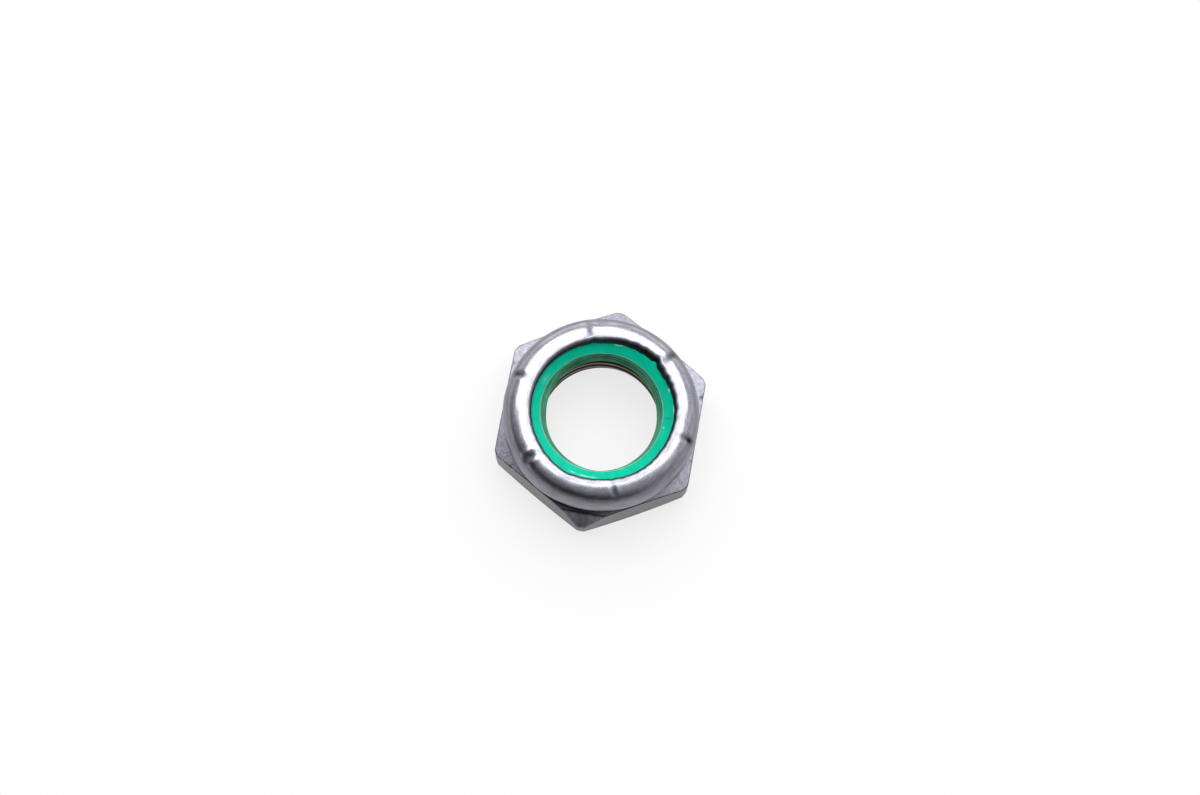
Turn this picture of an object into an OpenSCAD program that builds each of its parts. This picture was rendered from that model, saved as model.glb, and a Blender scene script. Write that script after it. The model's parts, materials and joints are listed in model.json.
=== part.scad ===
// Thin hexagon lock nut with a captive nylon ring.
// The hexagon and its thin collar are one steel piece. The collar is rolled over the ring,
// which has a plain bore that grips the bolt. Millimetres, +Z up. The origin is the centre of
// the bearing face, and two corners of the hexagon lie on the X axis.

/* [Hexagon] */
// Width across the flats
across_flats = 23.8; // [22:0.1:27]
// Depth that is rounded off each sharp corner
corner_trim = 0.25; // [0.1:0.05:0.6]
// Height of a flat at its middle, from the bearing face to the edge of the ledge
hex_h = 5.95; // [4.5:0.05:8]
// Fall of the ledge from the collar to the corners, in degrees
ledge_slope = 19; // [8:1:30]
// Distance of the flat bearing face from the flats
bearing_inset = 0.65; // [0.3:0.05:1.2]
// Rise of the chamfer under the corners, in degrees
bearing_chamfer = 30; // [15:1:35]

/* [Thread] */
// Minor diameter of the thread, drawn as a plain bore
minor_d = 14.6; // [13.8:0.05:15]
// Diameter of the countersink in the bearing face
countersink_d = 17; // [15.4:0.1:18]
// Small chamfer at the top end of the thread
thread_chamfer = 0.35; // [0.1:0.05:0.6]

/* [Collar] */
// Largest diameter of the collar
collar_d = 23.8; // [22.8:0.1:25]
// Thickness of the collar
collar_wall = 1.3; // [1:0.05:1.6]
// Depth of the neck where the collar meets the hexagon
neck_inset = 0.2; // [0.1:0.05:0.4]
// Outside radius of the rolled edge
roll_r = 2.8; // [2.4:0.05:3.2]
// How far the edge is rolled over, in degrees, where 90 is level with its top
roll_turn = 92; // [90:1:98]

/* [Crimp marks] */
// Number of marks that the rolling tool left on the collar
crimp_count = 6; // [3:1:12]
// Turn of the marks from the corners, in degrees
crimp_turn = 18; // [0:1:30]
// Place of a mark round the rolled edge, in degrees, where 90 is its top
crimp_at = 62; // [45:1:80]
// Radius of the tool that pressed a mark
crimp_tool_r = 0.5; // [0.3:0.05:0.8]
// Depth of a mark
crimp_depth = 0.18; // [0.08:0.02:0.3]

/* [Nylon ring] */
// Height of the ring's seat above the foot of the collar
seat_rise = 0.33; // [0.2:0.01:0.8]
// Height of the ring's straight side
ring_side_h = 0.6; // [0.4:0.05:1.2]
// Diameter of the ring's gripping bore
grip_d = 13.6; // [13:0.05:14]
// Height of the gripping bore
grip_h = 0.35; // [0.2:0.05:1.1]
// Diameter of the ring's bore at its seat
foot_d = 14.4; // [14.05:0.05:14.8]
// Height of the bevel at the foot of the bore
foot_h = 0.2; // [0.1:0.05:0.8]
// Diameter at the ring's inner top edge
mouth_d = 14.7; // [14.2:0.05:15.4]
// Fall of the ring's dished top, from the middle of the lip to the inner edge
mouth_drop = 0.88; // [0.4:0.01:1.1]
// Clearance between the ring and the collar
fit_gap = 0.05; // [0.02:0.01:0.1]

/* [Hidden] */
$fn = 120;
// Overlap of cuts past the faces that they open
cut = 1;

flat_r = across_flats / 2;
sharp_r = across_flats / sqrt(3);
corner_r = sharp_r - corner_trim;
bearing_r = flat_r - bearing_inset;

minor_r = minor_d / 2;
countersink_h = countersink_d / 2 - minor_r;

// The rolled edge is an arc about one point of the section, and its rounded end is the lip.
collar_r = collar_d / 2;
neck_r = collar_r - neck_inset;
neck_z = ledge_z(neck_r);
seat_z = neck_z + seat_rise;
roll_at = [collar_r - roll_r, seat_z + ring_side_h];
inner_roll_r = roll_r - collar_wall;
pocket_r = collar_r - collar_wall;
lip_r = collar_wall / 2;
lip_at = roll_at + (roll_r - lip_r) * along(roll_turn);
top_z = roll_at.y + roll_r;

grip_r = grip_d / 2;
foot_r = foot_d / 2;
grip_top_z = seat_z + foot_h + grip_h;
mouth_z = lip_at.y - mouth_drop;

// Direction at an angle in the section
function along(angle) = [cos(angle), sin(angle)];

// Height of the sloping ledge at a radius
function ledge_z(r) = hex_h - (r - flat_r) * tan(ledge_slope);

// Half section of the turned base, which trims the corners of the hexagon
module base_section() {
    polygon([
        [0, 0],
        [bearing_r, 0],
        [corner_r, (corner_r - bearing_r) * tan(bearing_chamfer)],
        [corner_r, ledge_z(corner_r)],
        [neck_r, neck_z],
        [0, neck_z],
    ]);
}

module hexagon_base() {
    intersection() {
        cylinder(h = top_z, r = sharp_r, $fn = 6);
        rotate_extrude() base_section();
    }
}

// Upper half of a disc
module half_disc(r) {
    intersection() {
        circle(r = r);
        translate([-r, 0]) square([2 * r, r]);
    }
}

// Half section of the space that the collar closes round, with the mouth inside the lip
module pocket_section() {
    translate([0, seat_z]) square([pocket_r, ring_side_h]);
    translate(roll_at) half_disc(inner_roll_r);
    mouth_edge = roll_at + (roll_r + cut) * along(roll_turn);
    polygon([
        [0, seat_z],
        [roll_at.x, seat_z],
        roll_at,
        mouth_edge,
        [0, mouth_edge.y],
    ]);
}

// Half section of the neck, the side and the rolled edge of the collar
module collar_section() {
    difference() {
        union() {
            translate([0, hex_h / 2]) square([pocket_r, roll_at.y - hex_h / 2]);
            translate([0, neck_z]) square([neck_r, roll_at.y - neck_z]);
            intersection() {
                translate(roll_at) circle(r = roll_r);
                translate([0, neck_z]) square([collar_r, top_z]);
            }
        }
        pocket_section();
    }
    translate(lip_at) circle(r = lip_r);
}

// Half section of the bore, with the countersink below and the small chamfer above
module bore_section() {
    polygon([
        [0, -cut],
        [countersink_d / 2 + cut, -cut],
        [minor_r, countersink_h],
        [minor_r, seat_z - thread_chamfer],
        [minor_r + thread_chamfer + cut, seat_z + cut],
        [0, seat_z + cut],
    ]);
}

// One short groove that lies over the rolled edge, from its top towards its side
module crimp_mark() {
    reach = roll_r + crimp_tool_r - crimp_depth;
    spot = roll_at + reach * along(crimp_at);
    translate([spot.x, 0, spot.y])
        rotate([0, -crimp_at, 0])
            cylinder(h = 2 * roll_r, r = crimp_tool_r, center = true);
}

// Steel nut: hexagon, threaded bore and rolled collar in one piece
module nut_body() {
    color("#9a9ea4") difference() {
        union() {
            hexagon_base();
            rotate_extrude() collar_section();
        }
        rotate_extrude() bore_section();
        for (i = [0 : crimp_count - 1])
            rotate([0, 0, crimp_turn + i * 360 / crimp_count]) crimp_mark();
    }
}

// Half section of the ring: straight side, shoulder under the lip, dished top and bore
module ring_section() {
    difference() {
        union() {
            translate([foot_r, seat_z]) square([pocket_r - fit_gap - foot_r, ring_side_h]);
            translate(roll_at) half_disc(inner_roll_r - fit_gap);
            polygon([
                [foot_r, seat_z],
                roll_at,
                lip_at,
                [mouth_d / 2, mouth_z],
                [grip_r, grip_top_z],
                [grip_r, seat_z + foot_h],
            ]);
        }
        translate(lip_at) circle(r = lip_r + fit_gap);
    }
}

// Green nylon ring, held under the rolled lip
module locking_insert() {
    color("#12a584") rotate_extrude() ring_section();
}

nut_body();
locking_insert();
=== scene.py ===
# Looks of a thin hexagon lock nut: a steel body whose rolled collar holds a green nylon ring.
# Sizes are in millimetres and become metres in the meshes. Angles round the nut start at the
# corner on +X and run counter-clockwise, seen from the collar.
import json
import math

import bpy
import numpy as np
from mathutils import Matrix, Vector


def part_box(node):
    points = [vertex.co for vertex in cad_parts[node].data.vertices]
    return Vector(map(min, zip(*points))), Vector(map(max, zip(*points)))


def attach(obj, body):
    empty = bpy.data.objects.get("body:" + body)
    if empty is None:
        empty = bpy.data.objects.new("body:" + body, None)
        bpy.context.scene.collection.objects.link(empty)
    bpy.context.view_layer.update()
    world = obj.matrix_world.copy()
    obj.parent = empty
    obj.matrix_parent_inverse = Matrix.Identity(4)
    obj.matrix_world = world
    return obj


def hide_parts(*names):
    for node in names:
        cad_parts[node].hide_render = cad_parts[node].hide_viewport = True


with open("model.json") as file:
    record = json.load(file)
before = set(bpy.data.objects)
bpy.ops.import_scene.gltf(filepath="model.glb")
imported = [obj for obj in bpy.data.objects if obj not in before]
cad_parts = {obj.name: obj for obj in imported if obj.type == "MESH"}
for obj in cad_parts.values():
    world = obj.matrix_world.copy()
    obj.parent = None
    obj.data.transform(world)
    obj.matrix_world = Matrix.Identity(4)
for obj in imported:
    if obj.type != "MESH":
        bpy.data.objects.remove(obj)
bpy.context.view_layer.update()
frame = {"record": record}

MM = 0.001
CORNERS = 6

# Sizes that the frame gives
nut_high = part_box("nut_body")[1] / MM
ring_low, ring_high = (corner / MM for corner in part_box("locking_insert"))
mounts = {mount["name"]: mount for mount in frame["record"]["mounts"]}
CORNER_R = nut_high.x
FLAT_R = nut_high.y
TOP_Z = nut_high.z
RING_R = ring_high.x
SEAT_Z = ring_low.z
MINOR_R = mounts["thread"]["dims"]["r_mm"]
GRIP_R = mounts["locking_bore"]["dims"]["r_mm"]
GRIP_H = mounts["locking_bore"]["dims"]["length_mm"]
GRIP_Z = mounts["locking_bore"]["pos_m"][2] / MM - GRIP_H / 2

# Hexagon: height of a flat at its middle, fall of the ledge, bearing face and its chamfer
HEX_H = 5.95
LEDGE_SLOPE = math.radians(19)
BEARING_R = FLAT_R - 0.65
BEARING_CHAMFER = math.radians(30)
EDGE_ROUND = 0.14
CORNER_SHARPNESS = 450

# Thread: 18 turns to the inch, right-handed, with its countersink and the chamfer at its top
PITCH = 25.4 / 18
THREAD_DEPTH = 0.64
THREAD_START = 0.27
COUNTERSINK_R = 8.5
THREAD_CHAMFER = 0.35

# Collar: a wall that is rolled over the ring, with a lip at its end
COLLAR_R = FLAT_R
COLLAR_WALL = 1.3
ROLL_R = 2.8
ROLL_START = math.radians(-19.5)
ROLL_TURN = math.radians(92)
ROLL_AT = np.array([COLLAR_R - ROLL_R, TOP_Z - ROLL_R])
LIP_R = COLLAR_WALL / 2

# Nylon ring: bevelled foot, gripping bore, and a dished top that runs under the lip
FOOT_R = 7.2
MOUTH_R = 7.35
MOUTH_DROP = 0.88
FIT_GAP = 0.05

# Points round each piece
NUT_COLUMNS = 460
RING_COLUMNS = 600

# Finishes of the nut and of the ring, in the order of their material slots
ROLLED, SHEARED, TUMBLED, DRAWN, TURNED, TAPPED = range(6)
MOULDED, SCUFFED = range(2)

# Radius of the drum on which the finishes' patterns are laid
DRUM_R = 10.0


def along(angle):
    """Direction at an angle in the half section."""
    return np.array([np.cos(angle), np.sin(angle)])


def ledge_z(r):
    """Height of the sloping ledge at a radius."""
    return HEX_H - (r - FLAT_R) * math.tan(LEDGE_SLOPE)


def hump(x, width):
    """Smooth hump of height 1 at x = 0."""
    return np.exp(-(x / width) ** 2)


def ramp(x, low, high):
    """Smooth step from 0 at low to 1 at high."""
    share = np.clip((x - low) / (high - low), 0, 1)
    return share * share * (3 - 2 * share)


def turn_from(angles, place):
    """Signed angle from a place on the turn, between half a turn back and half a turn on."""
    return (angles - place + math.pi) % math.tau - math.pi


def round_turn(angles, places, values):
    """Values between those at some places on the turn, which are in degrees."""
    return np.interp(angles, np.radians(places), values, period=math.tau)


def ripple(angles, seed, slowest, fastest):
    """Unevenness of about 1 round a full turn, with the given numbers of waves."""
    draw = np.random.default_rng(seed)
    waves = range(slowest, fastest + 1)
    total = sum(draw.normal() * np.cos(n * angles + draw.uniform(0, math.tau)) for n in waves)
    return total / math.sqrt(len(waves) / 2)


class Turning:
    """Mesh of a turned piece: rings of points round the Z axis, with bands of faces between them."""

    def __init__(self, angles):
        self.angles = angles
        self.points = []
        self.drum = []
        self.wear_and_painted_light = []
        self.faces = []
        self.finishes = []
        self.last = None
        self.length = 0.0

    def ring(self, r, z, wear_and_painted_light=0.0):
        """Adds a ring of points. Its wear value is 0 as made, 1 rubbed bright and -1 black; the black is oil
        in some places and painted shade in others, and the bright end also paints glints.
        """
        r, z, wear_and_painted_light = (np.broadcast_to(v, self.angles.shape) for v in (r, z, wear_and_painted_light))
        c, s = np.cos(self.angles), np.sin(self.angles)
        if self.points:
            before = self.points[-1]
            self.length += np.hypot(r - np.hypot(*before.T[:2]), z - before[:, 2]).mean()
        self.points.append(np.stack([r * c, r * s, z], 1))
        self.drum.append(np.stack([DRUM_R * c, DRUM_R * s, np.full_like(c, self.length)], 1))
        self.wear_and_painted_light.append(wear_and_painted_light)
        count = len(self.angles)
        self.last = (len(self.points) - 1) * count + np.arange(count)
        return self.last

    def band(self, low, high, finish, low_end=None, high_end=None):
        """Joins two rings. The ends are the points after the last ones, where a helix doesn't close."""
        low_next = np.append(low[1:], low[0] if low_end is None else low_end)
        high_next = np.append(high[1:], high[0] if high_end is None else high_end)
        for quad in np.stack([low, low_next, high_next, high], 1).tolist():
            corners = list(dict.fromkeys(quad))
            if len(corners) > 2:
                self.faces.append(corners)
                self.finishes.append(finish)

    def to(self, r, z, finish, wear_and_painted_light=0.0):
        """Adds a ring and joins it to the last one."""
        before = self.last
        self.band(before, self.ring(r, z, wear_and_painted_light), finish)

    def piece(self, name, finishes):
        """Makes the object, without the points that no face uses."""
        used = np.unique(np.concatenate([np.array(face) for face in self.faces]))
        place = np.zeros(len(self.points) * len(self.angles), int)
        place[used] = np.arange(len(used))
        mesh = bpy.data.meshes.new(name)
        points = np.concatenate(self.points)[used] * MM
        mesh.from_pydata(points, [], [place[face].tolist() for face in self.faces])
        drum = mesh.attributes.new("drum_mm", "FLOAT_VECTOR", "POINT")
        drum.data.foreach_set("vector", np.concatenate(self.drum)[used].astype(np.float32).ravel())
        wear_and_painted_light = mesh.attributes.new("wear_and_painted_light", "FLOAT", "POINT")
        wear_and_painted_light.data.foreach_set("value", np.concatenate(self.wear_and_painted_light)[used].astype(np.float32))
        for finish in finishes:
            mesh.materials.append(finish)
        mesh.polygons.foreach_set("material_index", self.finishes)
        mesh.polygons.foreach_set("use_smooth", [True] * len(self.faces))
        mesh.validate()
        piece = bpy.data.objects.new(name, mesh)
        bpy.context.scene.collection.objects.link(piece)
        return piece


# Crimp marks: corner that each follows, turn from it in degrees, place round the roll in degrees,
# depth of the groove, rise of the metal beside it, half width and half length
CRIMP_MARKS = [
    (0, 18.8, 58, 0.09, 0.03, 0.45, 1.1),
    (1, 18.2, 70, 0.10, 0.03, 0.40, 0.9),
    (2, 16.4, 55, 0.11, 0.03, 0.40, 1.0),
    (3, 15.0, 64, 0.15, 0.09, 0.42, 0.8),
    (4, 18.9, 66, 0.09, 0.03, 0.30, 0.6),
    (5, 20.8, 48, 0.12, 0.03, 0.38, 1.0),
]
# Darkening in the crimp grooves: painted shade for the light the grooves turn away, with some oil
CRIMP_SHADE_AND_OIL = 1.3
# Raised metal beside a groove: its place and half width, as shares of the groove's half width
FLANK_AT, FLANK_W = 1.7, 0.8

# Rolled surface: height, seed and numbers of its waves, the place round the roll where they are strongest
# and their spread, and where the burnishing starts and is full
ROLL_WAVE, ROLL_RIPPLE = 0.006, (11, 5, 19)
ROLL_WAVE_AT, ROLL_WAVE_W = math.radians(60), math.radians(40)
BURNISH_START, BURNISH_FULL = math.radians(36), math.radians(58)

# Lip: angle round the nut in degrees, how much shorter it is than the full roll, how far the inner
# edge of its sheared face stands out past the outer edge, how ragged it is, and the width of the
# dull border before it
LIP_PROFILE = [
    (-20, 0.42, 0.05, 0.015, 0.35),
    (-5, 0.36, 0.20, 0.02, 0.5),
    (10, 0.22, 0.42, 0.02, 0.6),
    (18, 0.32, 0.50, 0.03, 0.6),
    (22, 0.58, 0.45, 0.04, 0.6),
    (27, 0.52, 0.62, 0.05, 0.7),
    (40, 0.36, 0.50, 0.03, 0.9),
    (55, 0.20, 0.25, 0.015, 0.9),
    (70, 0.02, 0.14, 0.015, 0.9),
    (76, 0.12, 0.08, 0.02, 0.9),
    (82, 0.00, 0.14, 0.015, 0.8),
    (100, 0.00, 0.14, 0.01, 0.6),
    (130, 0.00, 0.00, 0.01, 0.3),
    (160, 0.00, 0.00, 0.01, 0.3),
    (190, 0.04, 0.00, 0.015, 0.12),
    (220, 0.34, 0.00, 0.012, 0.12),
    (250, 0.13, 0.00, 0.012, 0.12),
    (280, 0.31, 0.00, 0.02, 0.12),
    (310, 0.28, 0.00, 0.015, 0.12),
]
# Wear that the dull border takes away, the unevenness of its width, and seeds and numbers of waves of the
# ragged end and of the border
LIP_DULL, DULL_SPREAD = 0.55, 0.45
LIP_RIPPLE, DULL_RIPPLE = (23, 8, 64), (29, 9, 40)
# Share of the slant that the nose loses, and the angles round the nose where the sheared face starts and
# where it is fully dark
NOSE_LOSS, SHEAR_ANGLE, DARK_ANGLE = 0.45, 0.9, 1.3

# Wear of the ledge at each corner, which also paints light and shade: lighter or darker corner by corner as
# the light falls, and darkest at 240 degrees, in the collar's shadow. Wear of the rounded edge at each
# corner and the middle of each flat
LEDGE_WEAR_AND_SHADE = [0.7, 0.35, 0.65, 0.55, -0.6, 1.0]
EDGE_WEAR = [0.9, 0.5, 0.8, 0.5, 0.3, 0.6, 0.2, 0.1, 0.6, -0.9, -0.2, 0.9]
# Painted light and shade on the flats, lighter or darker round the nut as the light falls on them: angle in
# degrees and wear value
FLAT_LIGHT_AND_SHADE = [
    (30, 0.0),
    (180, 0.3),
    (192, 0.15),
    (215, 0.0),
    (236, -0.2),
    (244, 0.2),
    (262, 0.0),
    (300, 0.0),
]
# Corner that was beaten down to a facet: its angle, the reach at which the facet starts, and its slope
BEATEN_ANGLE, BEATEN_REACH, BEATEN_SLOPE = math.radians(240), 12.2, 1.7
# Nicks in the rounded edge: angle in degrees, half width and depth
EDGE_NICKS = [
    (-8.8, 0.26, 0.20),
    (190, 0.16, 0.07),
    (206, 0.14, 0.08),
    (128, 0.15, 0.06),
    (313, 0.20, 0.05),
]
# Painted shade in the crease at the foot of the collar, at its darkest on one side
COLLAR_SHADE_ANGLE, COLLAR_SHADE_SPREAD, COLLAR_SHADE_W, COLLAR_SHADE_LEAST = math.radians(226), math.radians(24), 0.42, 0.1
# Wear taken away by painted shadow where the nut stands on the floor: on the chamfer, along the foot of the
# flats and up to which share of them; and by oil: on the rounded edge, in its nicks, in the dents beside
# them and on the beaten facet
CHAMFER_SHADOW, FLAT_FOOT_SHADOW, FOOT_SHARE = 0.8, 0.9, 0.15
EDGE_OIL, NICK_OIL, DENT_OIL, FACET_OIL = 0.2, 1.5, 8.0, 0.1
# How far a nick reaches over the ledge
DENT_W = 0.3


def crimp_angle(corner, offset):
    """Angle of a crimp mark round the nut."""
    return math.radians(corner * 360 / CORNERS + offset)


def nut_columns():
    """Angles of the points of a ring, closer together at the corners and at the crimp marks."""
    fine = [(crimp_angle(corner, offset), math.radians(4.5)) for corner, offset, *_ in CRIMP_MARKS]
    fine += [(i * math.tau / CORNERS, math.radians(4)) for i in range(CORNERS)]
    fine += [(math.radians(place), math.radians(2)) for place, *_ in EDGE_NICKS]
    steps = np.linspace(0, math.tau, 7201)
    density = np.full(steps.shape, 1.0)
    for place, half in fine:
        density = np.where(abs(turn_from(steps, place)) < half, 2.7, density)
    share = np.concatenate([[0], np.cumsum((density[1:] + density[:-1]) / 2)])
    return np.interp(np.arange(NUT_COLUMNS) / NUT_COLUMNS * share[-1], share, steps)


def hexagon_radius(angles):
    """Radius of the hexagon with its trimmed corners."""
    sector = math.tau / CORNERS
    flat = FLAT_R / np.cos(angles % sector - sector / 2)
    return CORNER_R * (1 + (flat / CORNER_R) ** -CORNER_SHARPNESS) ** (-1 / CORNER_SHARPNESS)


def rolled_surface(angles, roll):
    """Height of the rolled surface out from the true arc, and its wear, with the crimp marks, whose grooves
    are painted dark as shade.
    """
    height = ROLL_WAVE * ripple(angles, *ROLL_RIPPLE) * hump(roll - ROLL_WAVE_AT, ROLL_WAVE_W)
    wear_and_painted_light = ramp(roll, BURNISH_START, BURNISH_FULL)
    r = ROLL_AT[0] + ROLL_R * np.cos(roll)
    for corner, offset, place, depth, rise, half_w, half_l in CRIMP_MARKS:
        across = r * turn_from(angles, crimp_angle(corner, offset))
        reach = hump(ROLL_R * (roll - math.radians(place)), half_l)
        groove = hump(across, half_w)
        flanks = hump(abs(across) - FLANK_AT * half_w, FLANK_W * half_w)
        height = height + reach * (rise * flanks - depth * groove)
        # Painted shade, with some oil, in each crimp groove
        wear_and_painted_light = wear_and_painted_light - CRIMP_SHADE_AND_OIL * reach * groove
    limit = ROLL_R / np.maximum(np.cos(roll), np.sin(roll)) - ROLL_R
    return np.minimum(height, limit), wear_and_painted_light


class Lip:
    """End of the collar, all round: how far it is rolled over, and how its sheared face slants."""

    def __init__(self, angles):
        places, *profile = np.transpose(LIP_PROFILE)
        short, self.slant, ragged, self.dull = (round_turn(angles, places, column) for column in profile)
        short = np.maximum(short + ragged * ripple(angles, *LIP_RIPPLE), 0)
        self.dull *= np.exp(DULL_SPREAD * ripple(angles, *DULL_RIPPLE))
        self.turn = ROLL_TURN - short / (ROLL_R - LIP_R)
        self.nose = LIP_R - NOSE_LOSS * self.slant

    def face(self, angle, gap=0.0):
        """Radius and height on the face, from its outer edge at 0 to its inner edge at pi."""
        out = ROLL_R - LIP_R + (LIP_R + gap) * np.cos(angle)
        on = (self.nose + gap) * np.sin(angle) + self.slant * (1 - np.cos(angle)) / 2
        c, s = np.cos(self.turn), np.sin(self.turn)
        return ROLL_AT[0] + out * c - on * s, ROLL_AT[1] + out * s + on * c


# The thread's groove over one pitch: shares of the pitch and of the depth
THREAD_PHASES = [0, 0.02, 0.331, 0.351, 0.46, 0.60, 0.625, 0.726, 0.75, 0.89, 1]
THREAD_DEPTHS = [0.05, 0, 0, 0.05, 0.47, 0.96, 1, 1, 0.96, 0.47, 0.05]


# Wear of the thread's crests, and how much of it is gone at the roots
CREST_WEAR, ROOT_OIL = 0.5, 1.3


def bore_radius(angles, z):
    """Radius of the threaded bore with its countersink and the small chamfer at its top."""
    phase = ((z - THREAD_START) / PITCH - angles / math.tau) % 1
    thread = MINOR_R + THREAD_DEPTH * np.interp(phase, THREAD_PHASES, THREAD_DEPTHS)
    cones = np.maximum(COUNTERSINK_R - z, MINOR_R + THREAD_CHAMFER - (SEAT_Z - z))
    return np.maximum(thread, cones)


def beaten_drop(angles, r):
    """How far the hexagon's top has sunk at the beaten corner."""
    reach = r * np.cos(turn_from(angles, BEATEN_ANGLE))
    return BEATEN_SLOPE * np.maximum(reach - BEATEN_REACH, 0)


def tapped_wall(nut, bottom, top):
    """Helical rows of the thread, from the bearing face up to the ring's seat."""
    rows = []
    for turn in range(-2, math.ceil(SEAT_Z / PITCH) + 1):
        for phase, depth in zip(THREAD_PHASES[:-1], THREAD_DEPTHS):
            z = THREAD_START + PITCH * (turn + phase + nut.angles / math.tau)
            inside = np.clip(z, 0, SEAT_Z)
            row = nut.ring(bore_radius(nut.angles, inside), inside, wear_and_painted_light=CREST_WEAR - ROOT_OIL * depth)
            rows.append(np.where(z <= 0, bottom, np.where(z >= SEAT_Z, top, row)))
    rise = len(THREAD_PHASES) - 1
    rows += [top] * (rise + 1)
    for k in range(len(rows) - rise - 1):
        nut.band(rows[k], rows[k + 1], TAPPED, rows[k + rise][0], rows[k + rise + 1][0])


def build_hexagon(nut):
    """Bearing face, chamfer under the corners, flats, rounded edge and ledge."""
    hexagon = hexagon_radius(nut.angles)
    for r in np.linspace(COUNTERSINK_R, BEARING_R, 8)[1:]:
        nut.to(r, 0, TURNED)
    chamfer_z = (hexagon - BEARING_R) * math.tan(BEARING_CHAMFER)
    # The chamfer is painted dark as the nut's shadow on the floor
    for share in np.linspace(0, 1, 6)[1:]:
        nut.to(BEARING_R + share * (hexagon - BEARING_R), share * chamfer_z, TUMBLED, wear_and_painted_light=-CHAMFER_SHADOW)

    edge_z = ledge_z(hexagon) - beaten_drop(nut.angles, hexagon)
    turn = math.pi / 2 - LEDGE_SLOPE
    cut_back = EDGE_ROUND * math.tan(turn / 2)
    nicks = [(hump(hexagon * turn_from(nut.angles, math.radians(place)), half_w), depth)
             for place, half_w, depth in EDGE_NICKS]
    nick = sum(depth * spot for spot, depth in nicks)
    nick_oil = sum(spot for spot, depth in nicks)
    # Painted light and shade along the flats
    flat_light_and_shade = round_turn(nut.angles, *np.transpose(FLAT_LIGHT_AND_SHADE))
    for share in (0.02, 0.06, 0.14, 0.25, 0.4, 0.55, 0.7, 0.82, 0.9, 0.96, 1):
        z = chamfer_z + share * (edge_z - cut_back - chamfer_z)
        near_edge = ramp(share, 0.8, 1)
        # The foot of each flat is painted dark as the nut's shadow on the floor
        wear_and_painted_light = flat_light_and_shade - FLAT_FOOT_SHADOW * ramp(share, FOOT_SHARE, 0) - near_edge * nick_oil
        nut.to(hexagon - near_edge * nick, z, DRAWN, wear_and_painted_light)
    edge_wear = round_turn(nut.angles, np.arange(2 * CORNERS) * 180 / CORNERS, EDGE_WEAR)
    for angle in np.linspace(0, turn, 6)[1:]:
        r = hexagon - EDGE_ROUND * (1 - math.cos(angle))
        z = edge_z - cut_back + EDGE_ROUND * math.sin(angle)
        rubbed = edge_wear * math.sin(math.pi * angle / turn) - EDGE_OIL
        nut.to(r - nick, z - nick / 2, TUMBLED, wear_and_painted_light=rubbed - NICK_OIL * nick_oil)

    ledge_end = ROLL_AT[0] + ROLL_R * math.cos(ROLL_START)
    ledge_start = hexagon - cut_back * math.cos(LEDGE_SLOPE)
    # The ledge is painted lighter or darker by corner, as light and shade fall on it
    bright = round_turn(nut.angles, np.arange(CORNERS) * 360 / CORNERS, LEDGE_WEAR_AND_SHADE)
    # Painted shade along the foot of the collar, darkest on the near side
    collar_shade_reach = COLLAR_SHADE_LEAST + (1 - COLLAR_SHADE_LEAST) * hump(turn_from(nut.angles, COLLAR_SHADE_ANGLE), COLLAR_SHADE_SPREAD)
    for share in (0.03, 0.1, 0.2, 0.32, 0.46, 0.6, 0.74, 0.86, 0.95, 1):
        r = ledge_start + share * (ledge_end - ledge_start)
        collar_shade = collar_shade_reach * hump(r - ledge_end, COLLAR_SHADE_W)
        dent = nick * hump(ledge_start - r, DENT_W) / 2
        sunk = beaten_drop(nut.angles, r)
        wear_and_painted_light = bright - collar_shade * (1 + bright) - DENT_OIL * dent - FACET_OIL * sunk
        nut.to(r, ledge_z(r) - dent - sunk, TUMBLED, wear_and_painted_light)


def build_collar(nut):
    """Rolled outside of the collar, its lip, and the pocket for the ring."""
    lip = Lip(nut.angles)
    for share in np.linspace(0, 1, 80)[1:]:
        roll = ROLL_START + share * (lip.turn - ROLL_START)
        height, wear_and_painted_light = rolled_surface(nut.angles, roll)
        r, z = ROLL_AT[:, None] + (ROLL_R + height) * along(roll)
        nut.to(r, z, ROLLED, wear_and_painted_light - LIP_DULL * ramp(ROLL_R * (roll - lip.turn), -lip.dull, 0))
    for angle in np.linspace(0, math.pi, 26)[1:]:
        r, z = lip.face(angle)
        # Past the shear angle the lip's face is painted dark as shade
        finish = ROLLED if angle < SHEAR_ANGLE else SHEARED
        nut.to(r, z, finish, wear_and_painted_light=(1 - LIP_DULL) * ramp(angle, DARK_ANGLE, 0))
    for share in np.linspace(1, 0, 10)[1:]:
        r, z = ROLL_AT[:, None] + (ROLL_R - COLLAR_WALL) * along(lip.turn * share)
        nut.to(r, z, TURNED)
    nut.to(COLLAR_R - COLLAR_WALL, SEAT_Z, TURNED)


def build_nut(finishes):
    """Steel body: hexagon, rolled collar and threaded bore in one closed mesh."""
    nut = Turning(nut_columns())
    bottom = nut.ring(COUNTERSINK_R, 0)
    build_hexagon(nut)
    build_collar(nut)
    pocket_r = COLLAR_R - COLLAR_WALL
    seat_r = bore_radius(nut.angles, SEAT_Z)
    for share in (0.5, 1):
        nut.to(pocket_r + share * (seat_r - pocket_r), SEAT_Z, TURNED)
    tapped_wall(nut, bottom, nut.last)
    return nut.piece("steel_nut", finishes)


# Bore of the ring, scraped unevenly by the bolt: angle round the nut in degrees, and how much wider
# than drawn its mouth and its gripping edge are
BORE_PROFILE = [
    (-20, 0.10, -0.04),
    (70, -0.08, 0.00),
    (115, -0.04, -0.06),
    (160, 0.00, -0.16),
    (205, 0.04, 0.00),
    (250, 0.07, 0.25),
    (300, 0.10, 0.12),
]
# Thread-shaped scratches in the ring's bevel: their pitch and depth
SCRATCH_PITCH, SCRATCH_DEPTH = 0.4, 0.035
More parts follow.
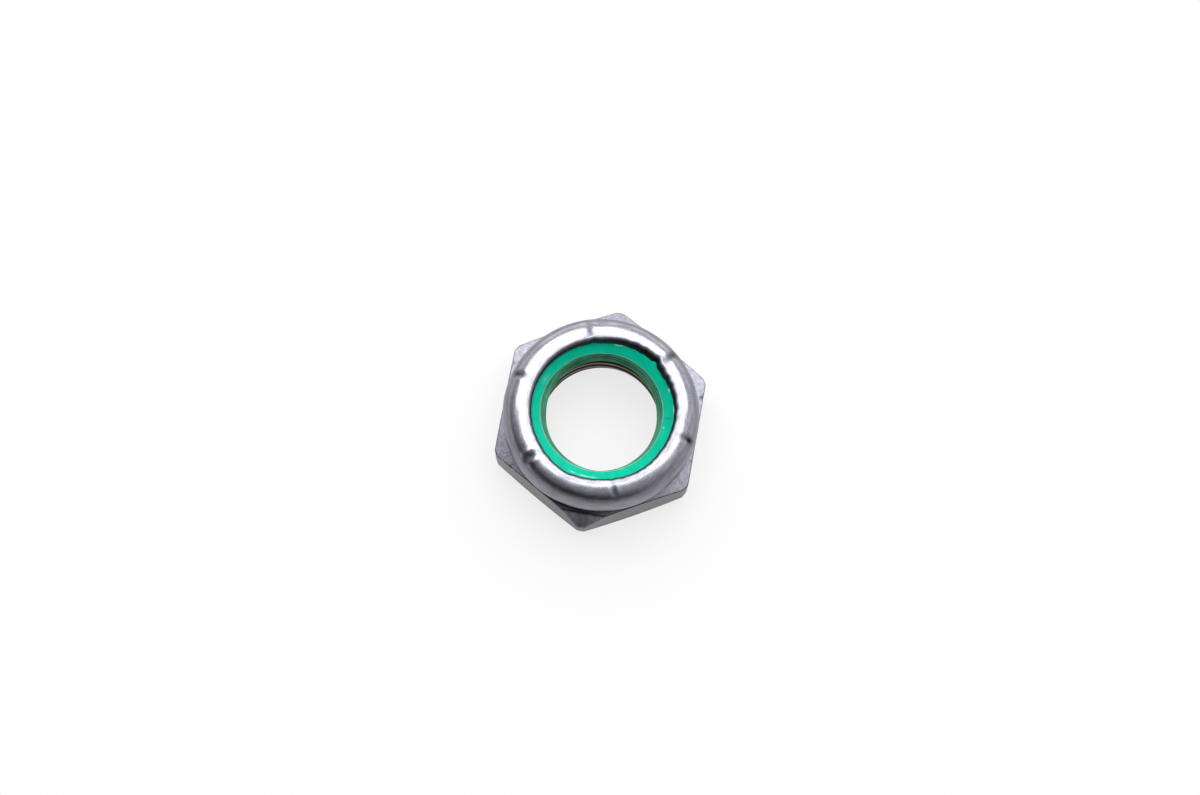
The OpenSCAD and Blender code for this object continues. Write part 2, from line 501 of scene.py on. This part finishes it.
# Patches that are scratched: seed and numbers of waves. Then the wear that dirt in a scratch takes away, and
# the share of the bevel from which its rim is rubbed pale
SCRATCH_RIPPLE, SCRATCH_DIRT, RIM_SHARE = (31, 2, 8), 0.7, 0.86
# Chips, scuffs and painted glints on the ring's top: angle in degrees, radius, half length round the ring,
# half width across it, height and wear
RING_CHIPS = [
    (53.5, 8.48, 0.16, 0.08, 0.05, 0.7),
    (56.5, 8.36, 0.28, 0.07, 0.06, 0.8),
    (58.5, 8.5, 0.1, 0.12, 0.05, 0.7),
    (88.5, 8.35, 0.08, 0.06, 0.03, 0.5),
    (130, 7.85, 0.6, 0.2, 0.0, 0.12),
    (-3, 8.58, 0.18, 0.16, 0.08, 0.9),
    # Painted glint: a long thin pale arc along the rim
    (-20, 8.7, 0.7, 0.05, 0.03, 1.0),
    (-26.5, 8.05, 0.05, 0.3, -0.04, -0.8),
    (-35, 7.75, 0.12, 0.09, 0.05, 0.6),
    # Painted glints along the rim on the near side
    (226, 8.3, 0.3, 0.05, 0.03, 0.8),
    (236, 8.3, 0.6, 0.05, 0.03, 1.0),
    (244, 8.32, 0.35, 0.05, 0.03, 0.8),
]


def build_ring(finishes):
    """Nylon ring: bore, dished top, shoulder under the lip, side and foot."""
    ring = Turning(np.arange(RING_COLUMNS) / RING_COLUMNS * math.tau)
    places, *wider = np.transpose(BORE_PROFILE)
    mouth_r = MOUTH_R + round_turn(ring.angles, places, wider[0])
    grip_r = GRIP_R + round_turn(ring.angles, places, wider[1])
    foot = ring.ring(FOOT_R, SEAT_Z)
    for share in np.linspace(0, 1, 5)[1:]:
        ring.to(FOOT_R + share * (grip_r - FOOT_R), SEAT_Z + share * (GRIP_Z - SEAT_Z), SCUFFED)
    for share in np.linspace(0, 1, 8)[1:]:
        ring.to(grip_r, GRIP_Z + share * GRIP_H, SCUFFED)

    full_lip = ROLL_AT + (ROLL_R - LIP_R) * along(ROLL_TURN)
    mouth_z = full_lip[1] - MOUTH_DROP
    dish_slope = MOUTH_DROP / (full_lip[0] - MOUTH_R)
    bevel_h = mouth_z - GRIP_Z - GRIP_H
    patchy = ramp(ripple(ring.angles, *SCRATCH_RIPPLE), -0.8, 1.0)
    for share in np.linspace(0, 1, 34)[1:]:
        z = mouth_z - (1 - share) * bevel_h
        wave = np.cos(math.tau * z / SCRATCH_PITCH - ring.angles) * patchy * ramp(share, 1, 0.8)
        r = grip_r + share * (mouth_r - grip_r) + SCRATCH_DEPTH * wave
        ring.to(r, z, SCUFFED, wear_and_painted_light=ramp(share, RIM_SHARE, 1) - SCRATCH_DIRT * ramp(wave, 0.1, 0.7))

    lip = Lip(ring.angles)
    above, below = np.full(RING_COLUMNS, 0.5), np.full(RING_COLUMNS, math.pi)
    for _ in range(20):
        middle = (above + below) / 2
        r, z = lip.face(middle, FIT_GAP)
        over = z > mouth_z + dish_slope * (r - MOUTH_R)
        above, below = np.where(over, middle, above), np.where(over, below, middle)
    rim_r, rim_z = lip.face(below, FIT_GAP)
    for share in np.linspace(0, 1, 30)[1:]:
        r = mouth_r + share * (rim_r - mouth_r)
        z = mouth_z + share * (rim_z - mouth_z)
        wear_and_painted_light = np.zeros(RING_COLUMNS)
        # Chips and scuffs, and glints painted along the rim
        for place, chip_r, half_l, half_w, height, rubbed in RING_CHIPS:
            round_it = r * turn_from(ring.angles, math.radians(place))
            spot = hump(round_it, half_l) * hump(r - chip_r, half_w)
            z = z + height * spot
            wear_and_painted_light = wear_and_painted_light + rubbed * spot
        ring.to(r, z, MOULDED, wear_and_painted_light)
    for share in np.linspace(0, 1, 8)[1:]:
        ring.to(*lip.face(below + share * (math.pi - below), FIT_GAP), MOULDED)
    for share in np.linspace(1, 0, 10)[1:]:
        r, z = ROLL_AT[:, None] + (ROLL_R - COLLAR_WALL - FIT_GAP) * along(lip.turn * share)
        ring.to(r, z, MOULDED)
    ring.to(RING_R, SEAT_Z, MOULDED)
    ring.to((RING_R + FOOT_R) / 2, SEAT_Z, MOULDED)
    ring.band(ring.last, foot, MOULDED)
    return ring.piece("nylon_ring", finishes)


def colour(code):
    """Linear colour of an sRGB hex code."""
    channels = [int(code[i:i + 2], 16) / 255 for i in (1, 3, 5)]
    linear = [c / 12.92 if c <= 0.04045 else ((c + 0.055) / 1.055) ** 2.4 for c in channels]
    return linear + [1.0]


def add(tree, kind, inputs=None, **settings):
    """Adds a node. An input takes a value or another node's output, and settings are its own."""
    node = tree.nodes.new("ShaderNode" + kind)
    for name, value in settings.items():
        setattr(node, name, value)
    for name, value in (inputs or {}).items():
        if isinstance(value, bpy.types.NodeSocket):
            tree.links.new(value, node.inputs[name])
        else:
            node.inputs[name].default_value = value
    return node


# Range of the stains' noise between the two colours of a pair
STAIN_LOW, STAIN_HIGH = 0.36, 0.64


def worn_surface(name, made, rubbed, oil_and_shade_colour, patch, speckle):
    """A material whose colour follows the wear value of the mesh. Made and rubbed are each a pair of
    colours, mixed by stains whose length round the piece and across it is the patch, and the next
    colour is the black under oil or dirt, which also paints shade. Gives the material, its nodes,
    its shader, the place on the drum and the rubbed share."""
    finish = bpy.data.materials.new(name)
    finish.use_nodes = True
    tree = finish.node_tree
    drum = add(tree, "Attribute", attribute_name="drum_mm").outputs["Vector"]
    wear_and_painted_light = add(tree, "Attribute", attribute_name="wear_and_painted_light").outputs["Fac"]
    stretch = (1 / patch[0], 1 / patch[0], 1 / patch[1])
    stains_at = add(tree, "VectorMath", {0: drum, 1: stretch}, operation="MULTIPLY").outputs[0]
    stains = add(tree, "TexNoise", {"Vector": stains_at, "Scale": 1.0, "Detail": 6.0,
                                    "Roughness": speckle}).outputs["Fac"]
    shade = add(tree, "MapRange", {"Value": stains, "From Min": STAIN_LOW,
                                   "From Max": STAIN_HIGH}).outputs["Result"]
    plain, bright = (add(tree, "Mix", {0: shade, 6: colour(pair[0]), 7: colour(pair[1])},
                         data_type="RGBA").outputs[2] for pair in (made, rubbed))
    shiny = add(tree, "MapRange", {"Value": wear_and_painted_light}).outputs["Result"]
    oil_and_shade = add(tree, "MapRange", {"Value": wear_and_painted_light, "From Max": -1.0}).outputs["Result"]
    tint = add(tree, "Mix", {0: shiny, 6: plain, 7: bright}, data_type="RGBA").outputs[2]
    tint = add(tree, "Mix", {0: oil_and_shade, 6: tint, 7: colour(oil_and_shade_colour)}, data_type="RGBA").outputs[2]
    surface = tree.nodes["Principled BSDF"]
    tree.links.new(tint, surface.inputs["Base Color"])
    return finish, tree, surface, drum, shiny


def steel(name, made, rubbed, rough, grain, patch, relief):
    """A steel finish. Rough is the roughness as made and rubbed, grain the length of its marks round
    the nut and across, and relief their height."""
    finish, tree, surface, drum, shiny = worn_surface(name, made, rubbed, "#19181b", patch, 0.72)
    stretch = (1 / grain[0], 1 / grain[0], 1 / grain[1])
    marks_at = add(tree, "VectorMath", {0: drum, 1: stretch}, operation="MULTIPLY").outputs[0]
    marks = add(tree, "TexNoise", {"Vector": marks_at, "Scale": 1.0, "Detail": 3.0}).outputs["Fac"]
    gloss = add(tree, "MapRange", {"Value": shiny, "To Min": rough[0],
                                   "To Max": rough[1]}).outputs["Result"]
    dents = add(tree, "Bump", {"Height": marks, "Distance": relief * MM}).outputs["Normal"]
    tree.links.new(gloss, surface.inputs["Roughness"])
    tree.links.new(dents, surface.inputs["Normal"])
    surface.inputs["Metallic"].default_value = 1.0
    return finish


def nylon(name, made, rubbed, rough, patch):
    """A nylon finish with faint clouds."""
    finish, tree, surface, *_ = worn_surface(name, made, rubbed, "#0a3a26", patch, 0.5)
    surface.inputs["Roughness"].default_value = rough
    surface.inputs["IOR"].default_value = 1.53
    surface.inputs["Specular IOR Level"].default_value = 0.1
    return finish


# White sheet under the nut: share of plain white that the eye and the metal see, over its shading
FLOOR_GLOW = 0.76
FLOOR_HALF = 3000
FLOOR_DROP = 0.01


def white_sheet():
    """White laminate, matt: nearly white, with a faint shadow of the nut."""
    finish = bpy.data.materials.new("white_laminate")
    finish.use_nodes = True
    tree = finish.node_tree
    surface = tree.nodes["Principled BSDF"]
    surface.inputs["Base Color"].default_value = colour("#fbfaf6")
    surface.inputs["Roughness"].default_value = 0.6
    path = add(tree, "LightPath").outputs
    seen = add(tree, "Math", {0: path["Is Camera Ray"], 1: path["Is Glossy Ray"]},
               operation="MAXIMUM").outputs[0]
    seen = add(tree, "Math", {0: seen, 1: path["Is Transmission Ray"]}, operation="MAXIMUM").outputs[0]
    share = add(tree, "Math", {0: seen, 1: FLOOR_GLOW}, operation="MULTIPLY").outputs[0]
    glow = add(tree, "Emission", {"Strength": 1.0}).outputs[0]
    mixed = add(tree, "MixShader", {0: share, 1: surface.outputs[0], 2: glow}).outputs[0]
    tree.links.new(mixed, tree.nodes["Material Output"].inputs["Surface"])
    return finish


def build_floor():
    """Flat white sheet that the nut lies on."""
    mesh = bpy.data.meshes.new("floor")
    half, level = FLOOR_HALF * MM, -FLOOR_DROP * MM
    corners = [(-half, -half, level), (half, -half, level), (half, half, level), (-half, half, level)]
    mesh.from_pydata(corners, [], [(0, 1, 2, 3)])
    mesh.materials.append(white_sheet())
    floor = bpy.data.objects.new("floor", mesh)
    bpy.context.scene.collection.objects.link(floor)


# Camera: found from the outline of the nut in the picture
PICTURE_W, PICTURE_H = 1200, 795
FOCAL_PX = 2010.8
CAMERA_PLAN = math.radians(246.4)
CAMERA_RISE = math.radians(76)
CAMERA_DISTANCE = 249.9
CAMERA_ROLL = math.radians(3.98)
ORIGIN_BELOW_MIDDLE_PX = 427.94 - PICTURE_H / 2
SENSOR_W = 36.0


def build_camera():
    """Camera that looks down on the nut."""
    lens = bpy.data.cameras.new("camera")
    lens.sensor_width = SENSOR_W
    lens.lens = FOCAL_PX / PICTURE_W * SENSOR_W
    lens.clip_start = 0.01
    camera = bpy.data.objects.new("camera", lens)
    bpy.context.scene.collection.objects.link(camera)
    level = math.cos(CAMERA_RISE)
    back = Vector((level * math.cos(CAMERA_PLAN), level * math.sin(CAMERA_PLAN), math.sin(CAMERA_RISE)))
    right = Vector((0, 0, 1)).cross(back).normalized()
    up = back.cross(right)
    aim = Matrix((right, up, back)).transposed().to_4x4()
    roll = Matrix.Rotation(CAMERA_ROLL, 4, "Z")
    tilt = Matrix.Rotation(math.atan(ORIGIN_BELOW_MIDDLE_PX / FOCAL_PX), 4, "X")
    camera.matrix_world = Matrix.Translation(back * CAMERA_DISTANCE * MM) @ aim @ roll @ tilt
    bpy.context.scene.camera = camera


# Soft boxes overhead: left, right, near and far edge as shares of their height, and radiance
FAR_PLAN = CAMERA_PLAN + CAMERA_ROLL - math.pi
BOX_H = 1200
SOFT_BOXES = [
    ("soft_box_top", -0.65, 0.85, -0.16, 0.35, 1.5),
    ("soft_box_far", -1.22, 1.45, 0.35, 2.0, 2.1),
]
BOX_TINT = "#fdfdff"
# Room: light ceiling and walls on the far side, a little to the right, and dark behind the camera
ROOM_PLAN = FAR_PLAN - math.radians(30)
ROOM_RISE = math.radians(35)
ROOM_DARK, ROOM_LIGHT = 0.02, 0.52
# Farness at which the room is darkest and lightest, from -1 to 1
ROOM_NEAR, ROOM_FAR = -0.4, 0.7
ROOM_TINT = "#f5f5ff"


def build_lights():
    """Large soft boxes and the dim room round them."""
    turn = Matrix.Rotation(FAR_PLAN - math.pi / 2, 4, "Z")
    for name, left, right, near, far, radiance in SOFT_BOXES:
        lamp = bpy.data.lights.new(name, "AREA")
        lamp.shape = "RECTANGLE"
        lamp.size = (right - left) * BOX_H * MM
        lamp.size_y = (far - near) * BOX_H * MM
        lamp.energy = radiance * math.pi * lamp.size * lamp.size_y
        lamp.color = colour(BOX_TINT)[:3]
        box = bpy.data.objects.new(name, lamp)
        bpy.context.scene.collection.objects.link(box)
        middle = Vector(((left + right) / 2, (near + far) / 2, 1)) * BOX_H * MM
        box.matrix_world = turn @ Matrix.Translation(middle)

    room = bpy.data.worlds.new("room")
    room.use_nodes = True
    tree = room.node_tree
    level = math.cos(ROOM_RISE)
    side = (level * math.cos(ROOM_PLAN), level * math.sin(ROOM_PLAN), math.sin(ROOM_RISE))
    looking = add(tree, "TexCoord").outputs["Generated"]
    farness = add(tree, "VectorMath", {0: looking, 1: side}, operation="DOT_PRODUCT").outputs["Value"]
    light = add(tree, "MapRange", {"Value": farness, "From Min": ROOM_NEAR, "From Max": ROOM_FAR,
                                   "To Min": ROOM_DARK, "To Max": ROOM_LIGHT}).outputs["Result"]
    walls = tree.nodes["Background"]
    walls.inputs["Color"].default_value = colour(ROOM_TINT)
    tree.links.new(light, walls.inputs["Strength"])
    bpy.context.scene.world = room


# Tool lines, grit and drawing streaks are really finer than 0.1 mm, and are drawn coarser so that they show
nut = build_nut([
    # The rolling tool burnishes the collar's top, and its side stays dull
    steel("burnished_rolled_steel", ("#807f8a", "#97969f"), ("#bab9c3", "#ececf3"),
          rough=(0.4, 0.25), grain=(4.0, 0.12), patch=(1.8, 0.5), relief=0.003),
    # Sheared end of the lip, painted dark as shade
    steel("sheared_lip_steel", ("#37363a", "#525157"), ("#a5a4ae", "#b5b4be"),
          rough=(0.5, 0.4), grain=(0.5, 0.2), patch=(1.0, 1.0), relief=0.02),
    # Forged and tumbled hexagon: speckled grain, with bright edges
    steel("tumbled_forged_steel", ("#686772", "#93929c"), ("#9b9aa5", "#c0bfc9"),
          rough=(0.4, 0.38), grain=(0.16, 0.16), patch=(0.3, 0.3), relief=0.03),
    # Cold-drawn flats: fine dark streaks along the bar's drawing
    steel("cold_drawn_steel", ("#514f55", "#67656c"), ("#7a787f", "#929098"),
          rough=(0.4, 0.38), grain=(0.15, 1.5), patch=(0.3, 0.9), relief=0.005),
    # Turned faces with fine rings
    steel("turned_steel", ("#8b8a94", "#a3a2ab"), ("#b0afb8", "#c0bfc8"),
          rough=(0.36, 0.36), grain=(9.0, 0.1), patch=(1.5, 1.5), relief=0.006),
    # Tapped thread with a brown film of oil
    steel("oiled_tapped_steel", ("#3e382f", "#574e41"), ("#776d5a", "#8d816b"),
          rough=(0.42, 0.4), grain=(2.0, 0.15), patch=(1.0, 1.0), relief=0.01),
])
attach(nut, "root")
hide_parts("nut_body")
ring = build_ring([
    # Moulded nylon, satin and clean; its pale rubbed colours also paint the glints on the rim
    nylon("moulded_green_nylon", ("#00bf98", "#00cba3"), ("#c4efe2", "#e0f8f0"),
          rough=0.42, patch=(1.6, 1.6)),
    # The same nylon where the bolt has scraped it, with a pale worn rim
    nylon("scuffed_green_nylon", ("#3a8f6c", "#66bd94"), ("#7fa07a", "#97b28c"),
          rough=0.55, patch=(4.0, 0.3)),
])
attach(ring, "root")
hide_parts("locking_insert")
build_floor()
build_camera()
build_lights()
bpy.context.scene.view_settings.view_transform = "Standard"
